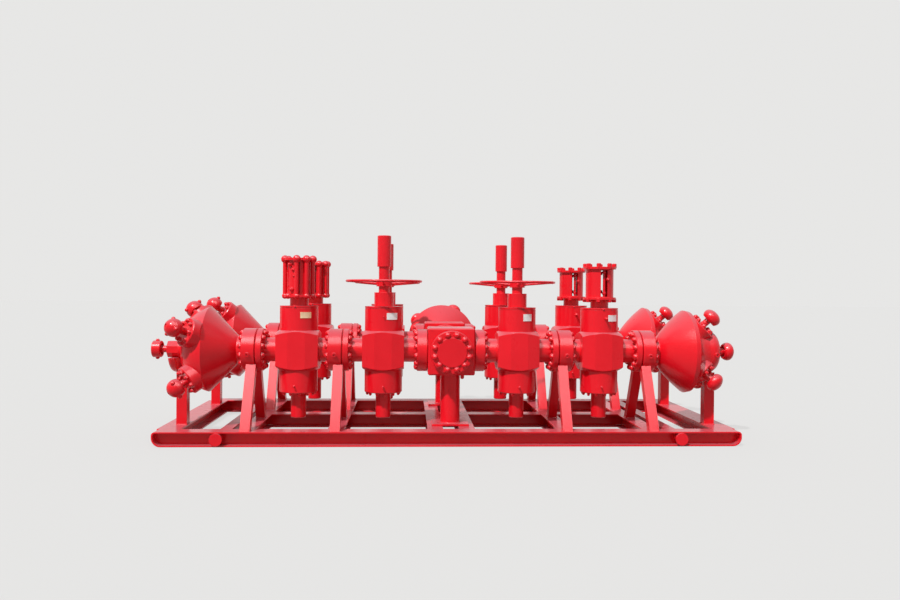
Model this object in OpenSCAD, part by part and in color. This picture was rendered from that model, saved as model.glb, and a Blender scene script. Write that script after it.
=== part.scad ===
// Fracturing manifold: two flow lines of gate valves joined by cross blocks,
// closed by multi-port heads and carried on a welded steel base.
// Millimetres, +X along the flow lines, +Y from front to back, +Z up.
// The origin is the middle of the base underside.

/* [Flow lines] */
// Distance between the front and back flow line axes
line_spacing = 1380; // [1330:10:1600]
// Height of the flow line axes above the base underside
line_height = 880; // [860:5:1000]

/* [Main flanges] */
// Outside radius of the main flanges
flange_r = 209.5; // [200:0.5:220]
// Radius of the raised contact face
raised_face_r = 182; // [150:1:190]
// Height of the raised contact face
raised_face_h = 4; // [2:0.5:6]
// Bevel on the flange edges
flange_bevel = 6; // [2:0.5:10]
// Radius of the pipe necks between flange and body
neck_r = 118.5; // [105:0.5:130]

/* [Test ports] */
// Radius of the test port boss
port_r = 22.5; // [16:0.5:28]
// Radius of the test port hole
port_hole_r = 9; // [5:0.5:12]
// How far the boss stands out of the flange
port_proud = 14; // [8:1:20]
// Angle of the ports below the horizontal
port_angle = 10; // [0:1:25]
// Angle of the end ports of the right heads below the horizontal
end_port_angle = 5; // [0:1:20]

/* [Gate valves] */
// Valve centre to the flange face on the cross block side
valve_inner_reach = 440; // [425:1:480]
// Valve centre to the flange face on the head side
valve_outer_reach = 400; // [380:1:440]
// Thickness of the cross block side flange on the manual valves
manual_flange_t = 105; // [80:1:120]
// Thickness of the cross block side flange on the hydraulic valves
hydraulic_flange_t = 140; // [100:1:155]
// Thickness of the head side flange on all valves
outer_flange_t = 62; // [50:1:80]
// Width of the valve block across its flat sides
valve_w = 410; // [380:1:430]
// Height of the valve block
valve_h = 392; // [370:1:420]
// Width of the middle flat on the front and back faces
facet_w = 168; // [120:1:220]
// Set-back of the two side facets at the corners
facet_drop = 35; // [15:1:60]
// Slope of the top and bottom chamfer
chamfer_angle = 30; // [20:1:40]

/* [Bonnets] */
// Radius of the upper and lower bonnets
bonnet_r = 187; // [170:1:195]
// Height of the upper bonnet
upper_bonnet_h = 241; // [200:1:280]
// Height of the lower bonnet
lower_bonnet_h = 220; // [180:1:235]
// Height of the lid band on top of the upper bonnet
lid_h = 16; // [10:1:30]
// Depth of the groove under the lid band
lid_groove = 5; // [2:0.5:8]
// Radius of the tail rod housing
tail_r = 75; // [60:1:90]
// Length of the tail rod housing
tail_h = 255; // [180:1:265]

/* [Stem towers] */
// Radius of the bearing housing
bearing_r = 95.5; // [85:0.5:110]
// Height of the bearing housing
bearing_h = 138; // [110:1:160]
// Radius of the stem neck
stem_neck_r = 53; // [45:0.5:58]
// Length of the stem neck
stem_neck_h = 257; // [230:1:280]
// Radius of the stem protector cap
protector_r = 68.5; // [62:0.5:80]
// Length of the stem protector cap
protector_h = 310; // [250:1:340]

/* [Handwheels] */
// Outside radius of the handwheel
wheel_r = 381; // [300:1:400]
// Radius of the round rim bar
rim_bar_r = 12.5; // [9:0.5:16]
// Radius of the spoke bars
spoke_r = 11; // [8:0.5:14]
// Number of spokes
spoke_count = 4; // [3:1:6]
// Radius of the wheel hub
hub_r = 76; // [70:1:88]
// Height of the wheel hub
hub_h = 56; // [44:1:70]
// Height of the rim above the hub top
wheel_dish = 10; // [0:1:25]
// Height of the hub underside above the bearing housing
hub_lift = 60; // [30:1:90]

/* [Tie rod actuators] */
// Radius of the actuator necks
actuator_neck_r = 90; // [75:1:95]
// Height of the actuator necks
actuator_neck_h = 83; // [70:1:100]
// Radius of the tie rod actuator tube
rod_tube_r = 112; // [105:0.5:113]
// Radius of the tie rod circle
rod_circle_r = 140; // [138:1:150]
// Radius of the tie rods
rod_r = 21; // [16:0.5:23]
// Height between the tie rod plates
rod_gap_h = 340; // [280:1:360]
// Radius of the upper ball nuts
upper_ball_r = 39; // [30:0.5:44]
// Turn of the tie rod circle
rod_turn = 33; // [0:1:39]
// Radius of the lower ball nuts
lower_ball_r = 29; // [26:0.5:34]

/* [Lantern actuators] */
// Radius of the lantern tube
lantern_r = 139; // [130:1:144]
// Height of the lantern tube between its plates
lantern_h = 283; // [250:1:320]
// Radius of the lantern plates
lantern_plate_r = 164; // [160:1:166]
// Radius of the plate nuts
plate_nut_r = 23; // [22:0.5:26]
// Height of the upper plate nuts
upper_nut_h = 35; // [25:1:45]
// Height of the lower plate nuts
lower_nut_h = 26; // [20:1:35]
// Radius of the plate nut circle
nut_circle_r = 145; // [144:0.5:148]
// Turn of the nut circle
nut_turn = 28; // [0:1:44]
// Turn of each lantern's front window towards the head
front_window_turn = 7; // [0:1:20]
// Turn of each lantern's back window towards the head
back_window_turn = 23; // [0:1:30]

/* [Actuator openings] */
// Thickness of the end plates
plate_t = 24; // [18:1:30]
// Wall of the actuator tubes
tube_wall = 14; // [10:0.5:20]
// Width of the windows in the tie rod tubes
rod_window_w = 34; // [20:1:40]
// Width of the windows in the lanterns
window_w = 72; // [50:1:80]
// Rim left above and below each window
window_rim = 8; // [4:1:30]
// Radius of the actuator stem
stem_r = 14; // [10:0.5:20]
// Radius of the stem collars
collar_r = 29; // [26:0.5:36]
// Height of the stem collars
collar_h = 34; // [20:1:45]

/* [Cross blocks] */
// Edge length of the cross blocks
block_size = 460; // [440:1:500]
// Bevel on the cross block edges
block_bevel = 12; // [4:1:20]
// Thickness of the blind flange
blind_t = 88; // [70:1:110]
// Thickness of the link spool flanges
spool_flange_t = 105; // [80:1:130]

/* [Heads] */
// Thickness of the head flange
head_flange_t = 135; // [110:1:150]
// Radius of the throat behind the head flange
throat_r = 134; // [120:1:145]
// Length of the throat
throat_h = 55; // [50:1:70]
// Length of the opening cone
cone_h = 274; // [250:1:300]
// Radius of the ring at the widest point
ring_r = 417; // [405:1:425]
// Bow of the opening cone on the right heads
cone_bow = 14; // [4:1:45]
// Length from the ring to the end face on the left heads
left_closing_h = 238; // [225:1:245]
// Bow of the closing surface on the left heads
closing_bow = 38; // [10:1:45]
// Radius of the recessed neck on the left heads
left_neck_r = 96; // [80:1:120]
// Length of the recessed neck on the left heads
left_neck_h = 58; // [45:1:70]
// Width of the ring band on the right heads
right_band_h = 44; // [30:1:60]
// Fall of the ring band on the right heads
right_band_drop = 8; // [4:1:16]
// Length from the ring to the end neck on the right heads
closing_h = 216; // [200:1:240]
// Depth of the concave sweep into the end neck on the right heads
sweep_depth = 40; // [20:1:45]
// Radius of the end neck
end_neck_r = 216; // [205:1:226]
// Length of the end neck on the right heads
end_neck_h = 125; // [115:1:140]
// Round at the tip of the end neck on the right heads
end_round = 98; // [60:1:105]

/* [Head inlets] */
// Angle between the head axis and the inlet axes
inlet_tilt = 46; // [44:0.5:48]
// Distance from the seam to the point where the inlet axes meet on the left heads
left_inlet_focus = 228; // [220:1:240]
// Distance from that point to the inlet faces on the left heads
left_inlet_face = 560; // [550:1:570]
// Distance from the seam to the point where the inlet axes meet on the right heads
right_inlet_focus = 345; // [335:1:355]
// Distance from that point to the inlet faces on the right heads
right_inlet_face = 404; // [400:1:420]
// Radius of the inlet flanges
inlet_r = 142; // [134:1:145]
// Bevel on the inlet flanges
inlet_bevel = 7; // [3:1:12]
// Depth of the inlet flange bosses
inlet_boss_h = 150; // [140:1:160]
// Turn of the inlets on the front left head
front_left_turn = 28; // [16:1:42]
// Turn of the inlets on the front right head
front_right_turn = 68; // [58:1:74]
// Turn of the inlets on the back left head
back_left_turn = 22; // [16:1:42]
// Turn of the inlets on the back right head
back_right_turn = 228; // [224:1:240]
// Turn of the inlets on the centre head
centre_turn = 64; // [0:1:89]

/* [Unions] */
// Radius of the union stalks
stalk_r = 34; // [28:0.5:42]
// Length of the stalks under the mushroom unions
stalk_h = 77; // [65:1:90]
// Length of the stalks under the ball unions
ball_stalk_h = 37; // [25:1:50]
// Radius of the ball unions
ball_r = 88; // [78:1:92]
// Radius of the mushroom unions
mushroom_r = 92; // [80:1:96]
// Thickness of the mushroom unions
mushroom_h = 110; // [90:1:130]
// Radius of the dimple in the union ends
dimple_r = 15; // [8:0.5:20]
// Depth of the dimple in the union ends
dimple_h = 12; // [6:1:20]
// Radius of the drum unions on the left ends
drum_r = 82; // [70:1:90]
// Length of the drum unions
drum_h = 85; // [75:1:110]
// Width of the octagonal boss on the left ends
boss_w = 158; // [140:1:170]
// Length of the octagonal boss on the left ends
boss_h = 111; // [95:1:125]
// Stalk length on the left ends
drum_stalk_h = 65; // [50:1:75]
// Radius of the hollow round the stalks
hollow_r = 58; // [50:1:62]
// Depth of the hollow round the stalks
hollow_h = 36; // [20:1:44]
// Radius of the lug knobs
lug_r = 20; // [14:0.5:24]

/* [Base frame] */
// Distance from the flow line axes to the side of the base
side_reach = 471; // [450:1:520]
// Distance from the end posts to the end of the base
end_reach = 162.5; // [150:0.5:180]
// Height of the base beams
beam_h = 140; // [120:1:150]
// Flange width of the rails
rail_w = 172; // [150:1:190]
// Thickness of the beam flanges
beam_flange_t = 14; // [10:0.5:18]
// Thickness of the beam webs
beam_web_t = 14; // [10:0.5:18]
// Width of the end beams
end_beam_w = 222; // [200:1:240]
// Width of the cross beams under the outer support frames
outer_beam_w = 150; // [130:1:160]
// Width of the extra cross beam outside them
extra_beam_w = 110; // [90:1:130]
// Distance between those two cross beams
beam_pitch = 200; // [180:1:230]
// Width of the cross beams under the inner support frames
inner_beam_w = 160; // [130:1:180]
// Width of the two middle cross beams
middle_beam_w = 150; // [120:1:160]
// Distance between the two middle cross beams
middle_beam_pitch = 310; // [280:1:340]
// Round at the lower rail corners
rail_lower_round = 85; // [50:1:85]
// Round at the upper rail corners
rail_upper_round = 34; // [20:1:34]

/* [Lifting trunnions] */
// Distance from the base end to the trunnions
trunnion_inset = 595; // [540:1:640]
// Radius of the trunnion shaft
trunnion_r = 44; // [36:1:45]
// Radius of the trunnion plate
trunnion_plate_r = 60; // [52:1:60]
// Thickness of the trunnion plate
trunnion_plate_t = 26; // [16:1:36]

/* [Supports] */
// Width of the support frame legs
leg_w = 94; // [80:1:120]
// Depth of the support frame legs, along the slope
leg_d = 90; // [70:1:92]
// Distance from the base side to the foot of the outer legs
leg_inset = 58; // [55:1:80]
// Distance of the leg tops from the flow line axis
leg_top_reach = 50; // [48:1:80]
// Distance of the legs from the flange seams
leg_offset = 40; // [30:1:45]
// Width of the end posts
post_w = 102; // [90:1:108]
// Distance from the head seams to the end posts
post_offset = 730; // [722:1:736]
// Radius of the saddle blocks under the left ends
saddle_r = 226; // [200:1:236]
// Thickness of the saddle blocks under the left ends
saddle_t = 70; // [50:1:80]
// Round at the rim of the saddle blocks
saddle_round = 46; // [20:1:48]
// Radius of the block pedestals
pedestal_r = 98; // [80:1:120]
// Width of the pedestal base plates
foot_w = 365; // [340:1:400]
// Depth of the pedestal base plates
foot_d = 300; // [260:1:340]
// Thickness of the pedestal base plates
foot_t = 20; // [14:1:28]

/* [Hidden] */
$fn = 64;

// Paint colours
red = [0.86, 0.09, 0.14];
deep_red = [0.62, 0.05, 0.08];

// Running gap between round pieces that seat in each other
seat_gap = 0.3;
// Gap round the coped beam webs
cope_gap = 4;
// Overrun of every cut
overrun = 5;
// Angles of the inlets round the left and right heads, counted from their turn
left_inlet_places = [0, 100, 180, 287];
right_inlet_places = [0, 80, 170, 242];
// Steps along every bowed surface
bow_steps = 16;
// Tie rods on each left actuator, and the place that has no rod above it
rod_count = 9;
free_rod_place = 7;
// Plate nuts on each right actuator
plate_nut_count = 8;
// Flat sides of the bosses on the left ends
boss_sides = 8;
// Lug knobs on the ball and drum unions
ball_lug_count = 3;
drum_lug_count = 2;
// Share of the ball radius at which its lug knobs sit along the axis
lug_place_share = 0.2;
// Share of the ball radius at which the ball is cut off towards its inlet
ball_cut_share = 0.5;
// Share of the mushroom thickness below its widest place
mushroom_waist_share = 0.42;
// Angle at which the round of a mushroom is cut off at its underside
mushroom_cut_angle = 38;
// Number of steps in the outline of a mushroom
mushroom_steps = 12;
// Shares of the actuator stem length where its collars are centred
collar_shares = [0.2, 0.86];

// Stations along a flow line, measured from the middle
line_y = line_spacing / 2;
block_half = block_size / 2;
manual_x = block_half + valve_inner_reach;
middle_seam_x = manual_x + valve_outer_reach;
hydraulic_x = middle_seam_x + valve_inner_reach;
outer_seam_x = hydraulic_x + valve_outer_reach;

// Stations along a head, measured from its seam
cone_start = head_flange_t + throat_h;
ring_start = cone_start + cone_h;
end_start = ring_start + closing_h;
head_end = end_start + end_neck_h;
left_face_x = ring_start + left_closing_h;
boss_start = left_face_x + left_neck_h;
boss_end = boss_start + boss_h;
post_x = outer_seam_x + post_offset;

// Heights along a valve, measured from the flow line axis
valve_half_h = valve_h / 2;
bonnet_top = valve_half_h + upper_bonnet_h;
tower_neck_z = bonnet_top + bearing_h;
hub_z = tower_neck_z + hub_lift;
rim_centre_r = wheel_r - rim_bar_r;
rim_z = hub_z + hub_h + wheel_dish - rim_bar_r;
actuator_plate_z = bonnet_top + actuator_neck_h;

// Base frame
base_half_l = post_x + end_reach;
base_half_w = line_y + side_reach;
rail_y = base_half_w - rail_w / 2;
rail_inner_y = base_half_w - rail_w;
outer_leg_x = outer_seam_x + leg_offset;
inner_leg_x = middle_seam_x + leg_offset;
foot_reach = side_reach - leg_inset;
trunnion_x = base_half_l - trunnion_inset;
end_beam_x = base_half_l - end_beam_w / 2;

// Lines and sides as signs
lines = [-1, 1];
sides = [-1, 1];

// Helpers

// Revolves a flat shape of [radius, station] about the X axis
module spin_x() {
    rotate([0, 90, 0]) rotate_extrude() children();
}

// Revolves an outline of [radius, station] points about the X axis
module revolve_x(points) {
    spin_x() polygon(points);
}

// Points between p and q, bowed to the right of the way from p to q
function bowed(p, q, bow) =
    let(run = q - p)
    let(side = [run[1], -run[0]] * 4 * bow / norm(run))
    [for (i = [1 : bow_steps - 1])
        let(share = i / bow_steps)
        p + run * share + side * share * (1 - share)];

// Cylinder along X from one station to another
module rod_x(r, from, to) {
    translate([from, 0, 0]) rotate([0, 90, 0]) cylinder(r = r, h = to - from);
}

// Places a piece of the front right quarter at one side of one line
module at(side, line) {
    flip_x = side < 0 ? 1 : 0;
    flip_y = line > 0 ? 1 : 0;
    translate([0, line * line_y, line_height])
        mirror([flip_x, 0, 0]) mirror([0, flip_y, 0]) children();
}

// Solid test port boss on a round of a given radius, facing the front
module port_boss(station, r, angle) {
    reach = r + port_proud;
    translate([station, 0, 0]) rotate([90 + angle, 0, 0]) difference() {
        translate([0, 0, neck_r]) cylinder(r = port_r, h = reach - neck_r);
        translate([0, 0, r]) cylinder(r = port_hole_r, h = port_proud + overrun);
    }
}

// Outline points of a flange whose raised face looks towards the lower stations
function flange_low(face, back) = [
    [raised_face_r, face],
    [raised_face_r, face + raised_face_h],
    [flange_r - flange_bevel, face + raised_face_h],
    [flange_r, face + raised_face_h + flange_bevel],
    [flange_r, back - flange_bevel],
    [flange_r - flange_bevel, back]
];

// Outline points of a flange whose raised face looks towards the higher stations
function flange_high(back, face) = [
    [flange_r - flange_bevel, back],
    [flange_r, back + flange_bevel],
    [flange_r, face - raised_face_h - flange_bevel],
    [flange_r - flange_bevel, face - raised_face_h],
    [raised_face_r, face - raised_face_h],
    [raised_face_r, face]
];

// Base frame

// Quarter of a disc
module quarter_round(r) {
    intersection() {
        circle(r = r);
        square(r);
    }
}

// Outline of a rail seen from the front, inset all round
module rail_outline(inset) {
    half = base_half_l - inset;
    low = rail_lower_round - inset;
    high = rail_upper_round - inset;
    bottom = inset;
    top = beam_h - inset;
    for (way = [0, 1]) mirror([way, 0]) {
        translate([half - low, bottom + low]) mirror([0, 1]) quarter_round(low);
        translate([half - high, top - high]) quarter_round(high);
    }
    translate([low - half, bottom]) square([2 * (half - low), top - bottom]);
    translate([high - half, bottom + low]) square([2 * (half - high), top - bottom - low]);
    translate([-half, bottom + low]) square([2 * half, top - bottom - low - high]);
}

// Side rail with a lip that runs round both ends
module side_rail() {
    pocket = (rail_w - beam_web_t) / 2;
    rotate([90, 0, 0]) difference() {
        linear_extrude(rail_w, center = true) rail_outline(0);
        for (s = sides)
            translate([0, 0, s * (rail_w / 2 + overrun) - (s < 0 ? 0 : pocket + overrun)])
                linear_extrude(pocket + overrun) rail_outline(beam_flange_t);
    }
}

// Rolled beam along Y between two stations, with its web coped into the beams it meets
module beam_y(w, from, to, low_tongue, high_tongue) {
    clear_h = beam_h - 2 * beam_flange_t - 2 * cope_gap;
    for (z = [0, beam_h - beam_flange_t])
        translate([-w / 2, from, z]) cube([w, to - from, beam_flange_t]);
    translate([-beam_web_t / 2, from, 0]) cube([beam_web_t, to - from, beam_h]);
    translate([-beam_web_t / 2, from - low_tongue, beam_flange_t + cope_gap])
        cube([beam_web_t, to - from + low_tongue + high_tongue, clear_h]);
}

// Recess depth beside a beam web
function recess(w) = (w - beam_web_t) / 2;

// Cross beam in one length, from side rail to side rail
module through_beam(x, w) {
    translate([x, 0, 0])
        beam_y(w, -rail_inner_y, rail_inner_y, recess(rail_w), recess(rail_w));
}

// Cross beam in two lengths, from each side rail to the centre rail
module cross_beam(x, w) {
    for (line = lines) mirror([0, line < 0 ? 1 : 0, 0])
        translate([x, 0, 0])
            beam_y(w, rail_w / 2, rail_inner_y, recess(rail_w), recess(rail_w));
}

module front_rail() {
    color(red) translate([0, -rail_y, 0]) side_rail();
}

module back_rail() {
    color(red) translate([0, rail_y, 0]) side_rail();
}

module centre_rail() {
    half = outer_leg_x - outer_beam_w / 2;
    color(deep_red) rotate([0, 0, 90])
        beam_y(rail_w, -half, half, recess(outer_beam_w), recess(outer_beam_w));
}

module end_beams() {
    color(red) for (s = sides) through_beam(s * end_beam_x, end_beam_w);
}

// The cross beams on one side of the middle
module side_cross_beams(side) {
    through_beam(side * outer_leg_x, outer_beam_w);
    through_beam(side * (outer_leg_x + beam_pitch), extra_beam_w);
    cross_beam(side * inner_leg_x, inner_beam_w);
}

module left_cross_beams() {
    color(red) side_cross_beams(-1);
}

module right_cross_beams() {
    color(red) side_cross_beams(1);
}

module middle_cross_beams() {
    color(red) for (s = sides) cross_beam(s * middle_beam_pitch / 2, middle_beam_w);
}

module lifting_trunnions() {
    web_y = rail_y + beam_web_t / 2;
    color(red) for (s = sides, line = lines) mirror([0, line < 0 ? 1 : 0, 0])
        translate([s * trunnion_x, 0, beam_h / 2]) rotate([-90, 0, 0]) {
            translate([0, 0, web_y]) cylinder(r = trunnion_r, h = base_half_w - web_y);
            translate([0, 0, base_half_w]) cylinder(r = trunnion_plate_r, h = trunnion_plate_t);
        }
}

// Supports

// Sloping leg under a flange seam, saddled to the flange, on the front of its line
module support_leg(x) {
    half = leg_d / 2;
    foot_z = beam_h - line_height;
    translate([x, 0, 0]) difference() {
        translate([-leg_w / 2, 0, 0]) rotate([90, 0, 90]) linear_extrude(leg_w)
            polygon([
                [-foot_reach - half, foot_z],
                [-foot_reach + half, foot_z],
                [-leg_top_reach + half, 0],
                [-leg_top_reach - half, 0]
            ]);
        rod_x(flange_r + seat_gap, -leg_w, leg_w);
    }
}

// The legs under both seams on one side of both lines
module side_support_legs(side) {
    for (line = lines, x = [outer_leg_x, inner_leg_x], way = [0, 1])
        at(side, line) mirror([0, way, 0]) support_leg(x);
}

module left_support_legs() {
    color(red) side_support_legs(-1);
}

module right_support_legs() {
    color(red) side_support_legs(1);
}

// Half round block that carries the boss of a left head
module saddle_block() {
    from = boss_start;
    to = boss_start + saddle_t;
    intersection() {
        spin_x() difference() {
            polygon([[0, from], [saddle_r, from], [saddle_r, to], [0, to]]);
            translate([saddle_r - saddle_round, to - saddle_round]) difference() {
                square(saddle_round);
                circle(r = saddle_round);
            }
        }
        translate([from, -saddle_r, -saddle_r]) cube([saddle_t, 2 * saddle_r, saddle_r - boss_w / 2]);
    }
}

module end_posts() {
    post_h = line_height - beam_h;
    color(red) for (side = sides, line = lines) at(side, line) difference() {
        union() {
            translate([post_x - post_w / 2, -post_w / 2, -post_h])
                cube([post_w, post_w, post_h - boss_w / 2]);
            if (side < 0) translate([outer_seam_x, 0, 0]) saddle_block();
        }
        translate([outer_seam_x, 0, 0]) {
            if (side < 0) left_envelope(seat_gap);
            else right_envelope(seat_gap);
            inlet_bosses(side, line_head_turn(side, line), seat_gap);
        }
    }
}

module block_pedestals() {
    top_z = line_height - block_half;
    color(red) for (line = lines) translate([0, line * line_y, beam_h]) {
        translate([-foot_w / 2, -foot_d / 2, 0]) cube([foot_w, foot_d, foot_t]);
        cylinder(r = pedestal_r, h = top_z - beam_h);
    }
}

// Cross blocks

// Cube with bevelled edges
module bevelled_cube(size, bevel) {
    half = size / 2;
    flat = half - bevel;
    outline = [
        [half, flat], [flat, half], [-flat, half], [-half, flat],
        [-half, -flat], [-flat, -half], [flat, -half], [half, -flat]
    ];
    intersection() {
        linear_extrude(size, center = true) polygon(outline);
        rotate([90, 0, 0]) linear_extrude(size, center = true) polygon(outline);
        rotate([0, 90, 0]) linear_extrude(size, center = true) polygon(outline);
    }
}

module front_cross_block() {
    color(red) translate([0, -line_y, line_height]) bevelled_cube(block_size, block_bevel);
}

module back_cross_block() {
    color(red) translate([0, line_y, line_height]) bevelled_cube(block_size, block_bevel);
}

module blind_flange() {
    color(red) translate([0, -line_y - block_half, line_height]) rotate([0, 0, -90])
        revolve_x(concat([[0, 0]], flange_low(0, blind_t), [[0, blind_t]]));
}

module link_spool() {
    half = line_y - block_half;
    outline = concat(
        [[0, -half]],
        flange_low(-half, spool_flange_t - half),
        [[neck_r, spool_flange_t - half], [neck_r, half - spool_flange_t]],
        flange_high(half - spool_flange_t, half),
        [[0, half]]
    );
    color(red) translate([0, 0, line_height]) rotate([0, 0, 90]) revolve_x(outline);
}

// Gate valves

// Faceted block with conical chamfers above and below
module valve_block() {
    half = valve_w / 2;
    side_y = half - facet_drop;
    flat = facet_w / 2;
    rise = (half + facet_drop) * tan(chamfer_angle);
    intersection() {
        linear_extrude(valve_h, center = true) polygon([
            [half, side_y], [flat, half], [-flat, half], [-half, side_y],
            [-half, -side_y], [-flat, -half], [flat, -half], [half, -side_y]
        ]);
        rotate_extrude() polygon([
            [0, valve_half_h],
            [bonnet_r, valve_half_h],
            [bonnet_r + half + facet_drop, valve_half_h - rise],
            [bonnet_r + half + facet_drop, rise - valve_half_h],
            [bonnet_r, -valve_half_h],
            [0, -valve_half_h]
        ]);
    }
}

// Valve body with its two flanged necks, cross block side first
module valve_body(inner_flange_t) {
    inner_back = inner_flange_t - valve_inner_reach;
    outer_back = valve_outer_reach - outer_flange_t;
    outline = concat(
        [[0, -valve_inner_reach]],
        flange_low(-valve_inner_reach, inner_back),
        [[neck_r, inner_back], [neck_r, outer_back]],
        flange_high(outer_back, valve_outer_reach),
        [[0, valve_outer_reach]]
    );
    valve_block();
    revolve_x(outline);
}

module inner_valve(side, line) {
    color(red) at(side, line) translate([manual_x, 0, 0]) valve_body(manual_flange_t);
}

module outer_valve(side, line) {
    port_x = raised_face_h + hydraulic_flange_t / 2 - valve_inner_reach;
    color(red) at(side, line) translate([hydraulic_x, 0, 0]) {
        valve_body(hydraulic_flange_t);
        port_boss(port_x, flange_r, port_angle);
    }
}

module front_left_outer_valve() { outer_valve(-1, -1); }
module front_left_inner_valve() { inner_valve(-1, -1); }
module front_right_inner_valve() { inner_valve(1, -1); }
module front_right_outer_valve() { outer_valve(1, -1); }
module back_left_outer_valve() { outer_valve(-1, 1); }
module back_left_inner_valve() { inner_valve(-1, 1); }
module back_right_inner_valve() { inner_valve(1, 1); }
module back_right_outer_valve() { outer_valve(1, 1); }

module upper_bonnets() {
    groove_z = bonnet_top - lid_h;
    color(red) for (side = sides, line = lines, x = [manual_x, hydraulic_x])
        at(side, line) translate([x, 0, 0]) rotate_extrude() polygon([
            [0, valve_half_h],
            [bonnet_r, valve_half_h],
            [bonnet_r, groove_z - lid_groove],
            [bonnet_r - lid_groove, groove_z - lid_groove],
            [bonnet_r - lid_groove, groove_z],
            [bonnet_r, groove_z],
            [bonnet_r, bonnet_top],
            [0, bonnet_top]
        ]);
}

module lower_bonnets() {
    bonnet_low = -valve_half_h - lower_bonnet_h;
    tail_low = bonnet_low - tail_h;
    color(red) for (side = sides, line = lines, x = [manual_x, hydraulic_x])
        at(side, line) translate([x, 0, 0]) rotate_extrude() polygon([
            [0, -valve_half_h],
            [bonnet_r, -valve_half_h],
            [bonnet_r, bonnet_low + flange_bevel],
            [bonnet_r - flange_bevel, bonnet_low],
            [tail_r, bonnet_low],
            [tail_r, tail_low + flange_bevel],
            [tail_r - flange_bevel, tail_low],
            [0, tail_low]
        ]);
}

// Manual stems and handwheels

module stem_towers() {
    cap_low = tower_neck_z + stem_neck_h;
    cap_top = cap_low + protector_h;
    color(red) for (side = sides, line = lines)
        at(side, line) translate([manual_x, 0, 0]) rotate_extrude() polygon([
            [0, bonnet_top],
            [bearing_r, bonnet_top],
            [bearing_r, tower_neck_z],
            [stem_neck_r, tower_neck_z],
            [stem_neck_r, cap_low],
            [protector_r, cap_low],
            [protector_r, cap_top - flange_bevel],
            [protector_r - flange_bevel, cap_top],
            [0, cap_top]
        ]);
}

// Round rim on sloping spokes, with a bored hub that turns on the stem neck
module handwheel(side, line) {
    start_r = (stem_neck_r + hub_r) / 2;
    start_z = hub_z + hub_h / 2;
    run = rim_centre_r - start_r;
    climb = rim_z - start_z;
    spoke_l = sqrt(run * run + climb * climb);
    spoke_tilt = atan2(run, climb);
    color(red) at(side, line) translate([manual_x, 0, 0]) difference() {
        union() {
            translate([0, 0, hub_z]) cylinder(r = hub_r, h = hub_h);
            translate([0, 0, rim_z]) rotate_extrude()
                translate([rim_centre_r, 0]) circle(r = rim_bar_r);
            for (i = [0 : spoke_count - 1]) rotate([0, 0, i * 360 / spoke_count])
                translate([start_r, 0, start_z]) rotate([0, spoke_tilt, 0])
                    cylinder(r = spoke_r, h = spoke_l);
        }
        translate([0, 0, hub_z - overrun])
            cylinder(r = stem_neck_r + seat_gap, h = hub_h + 2 * overrun);
    }
}

module front_left_handwheel() { handwheel(-1, -1); }
module front_right_handwheel() { handwheel(1, -1); }
module back_left_handwheel() { handwheel(-1, 1); }
module back_right_handwheel() { handwheel(1, 1); }

// Hydraulic actuators

// Tube with a window in the front and in the back, each with its own turn
module windowed_tube(r, h, w, front_turn, back_turn) {
    difference() {
        cylinder(r = r, h = h);
        cylinder(r = r - tube_wall, h = h);
        for (turn = [front_turn, 180 - back_turn]) rotate([0, 0, turn])
            translate([-w / 2, -r - overrun, window_rim])
                cube([w, r + overrun, h - 2 * window_rim]);
    }
}

// Plate nut with a bevelled top
module plate_nut(h) {
    rotate_extrude() polygon([
        [0, 0],
        [plate_nut_r, 0],
        [plate_nut_r, h - flange_bevel],
        [plate_nut_r - flange_bevel, h],
        [0, h]
    ]);
}

// Ring of children round the vertical axis
module round_about(count, turn, r) {
    for (i = [0 : count - 1]) rotate([0, 0, turn + i * 360 / count])
        translate([r, 0, 0]) children();
}

// Actuator caged by tie rods with ball nuts
module rod_actuator() {
    plate_r = rod_circle_r + rod_r / 2;
    translate([0, 0, bonnet_top]) cylinder(r = actuator_neck_r, h = actuator_neck_h);
    translate([0, 0, actuator_plate_z]) {
        cylinder(r = plate_r, h = plate_t);
        translate([0, 0, plate_t]) windowed_tube(rod_tube_r, rod_gap_h, rod_window_w, 0, 0);
        translate([0, 0, plate_t + rod_gap_h]) cylinder(r = plate_r, h = plate_t);
        for (i = [0 : rod_count - 1]) rotate([0, 0, rod_turn + i * 360 / rod_count])
            translate([rod_circle_r, 0, plate_t / 2]) {
                sphere(r = lower_ball_r);
                if (i != free_rod_place) {
                    cylinder(r = rod_r, h = rod_gap_h + plate_t);
                    translate([0, 0, rod_gap_h + plate_t]) sphere(r = upper_ball_r);
                }
            }
    }
}

// Actuator with a wide lantern tube between two bolted plates
module lantern_actuator() {
    translate([0, 0, bonnet_top]) cylinder(r = actuator_neck_r, h = actuator_neck_h);
    translate([0, 0, actuator_plate_z]) {
        cylinder(r = lantern_plate_r, h = plate_t);
        translate([0, 0, plate_t])
            windowed_tube(lantern_r, lantern_h, window_w, front_window_turn, back_window_turn);
        translate([0, 0, plate_t + lantern_h]) cylinder(r = lantern_plate_r, h = plate_t);
        round_about(plate_nut_count, nut_turn, nut_circle_r) {
            translate([0, 0, plate_t / 2]) rotate([180, 0, 0]) plate_nut(lower_nut_h + plate_t / 2);
            translate([0, 0, plate_t + lantern_h + plate_t / 2]) plate_nut(upper_nut_h + plate_t / 2);
        }
    }
}

// Stem with two collars inside an actuator tube
module actuator_stem(h) {
    translate([hydraulic_x, 0, actuator_plate_z + plate_t]) {
        cylinder(r = stem_r, h = h);
        for (share = collar_shares)
            translate([0, 0, share * h - collar_h / 2]) cylinder(r = collar_r, h = collar_h);
    }
}

module left_actuators() {
    color(red) for (line = lines) at(-1, line) translate([hydraulic_x, 0, 0]) rod_actuator();
}

module right_actuators() {
    color(red) for (line = lines)
        translate([hydraulic_x, line * line_y, line_height]) lantern_actuator();
}

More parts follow.
